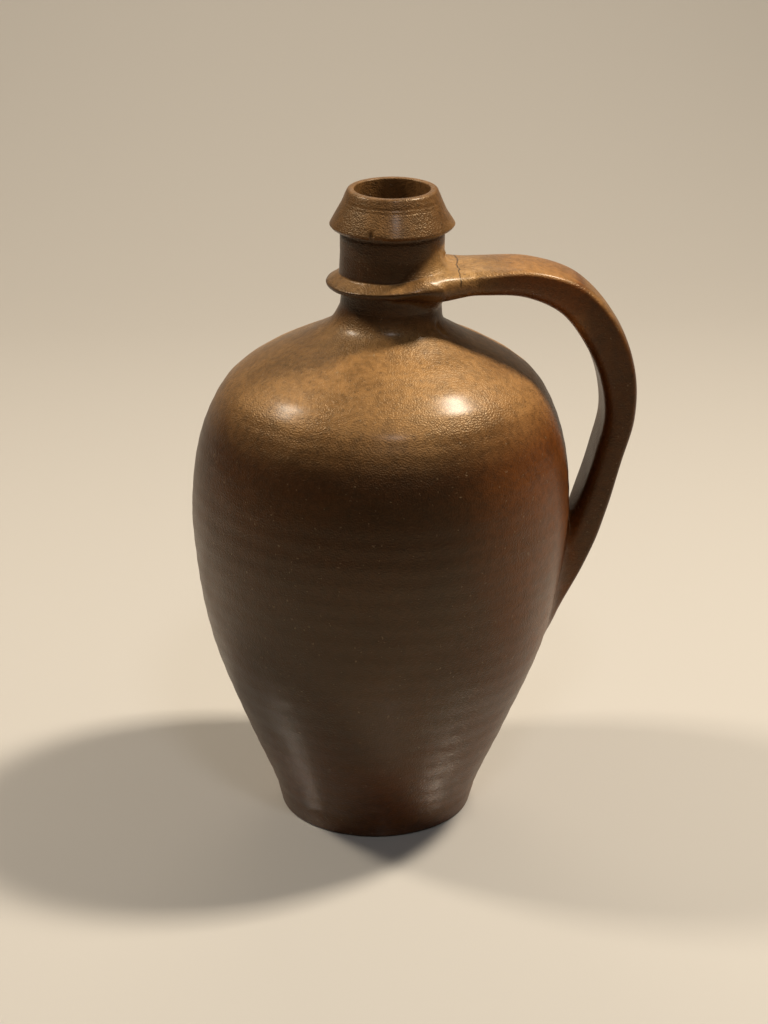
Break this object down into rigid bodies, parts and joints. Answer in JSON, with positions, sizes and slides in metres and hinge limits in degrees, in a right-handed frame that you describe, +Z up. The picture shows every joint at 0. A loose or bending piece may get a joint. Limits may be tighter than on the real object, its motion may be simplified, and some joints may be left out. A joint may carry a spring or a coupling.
{
  "type": "stoneware jug",
  "caption": "Thrown stoneware bottle jug with an ovoid body on a flat foot, a narrow neck with a collar ring and wedge lip, and a pulled strap handle.",
  "frame": {"origin": "centre of the flat foot, on the surface the jug stands on", "axes": "+Z up, +X towards the handle, +Y square to both, so that the handle's middle lies in the XZ plane"},
  "size_m": [0.1985, 0.1688, 0.29],
  "materials": {
    "stoneware": "satin brown salt glaze, fine orange-peel grain"
  },
  "bodies": {
    "root": {"jug": "stoneware"}
  },
  "joints": []
}
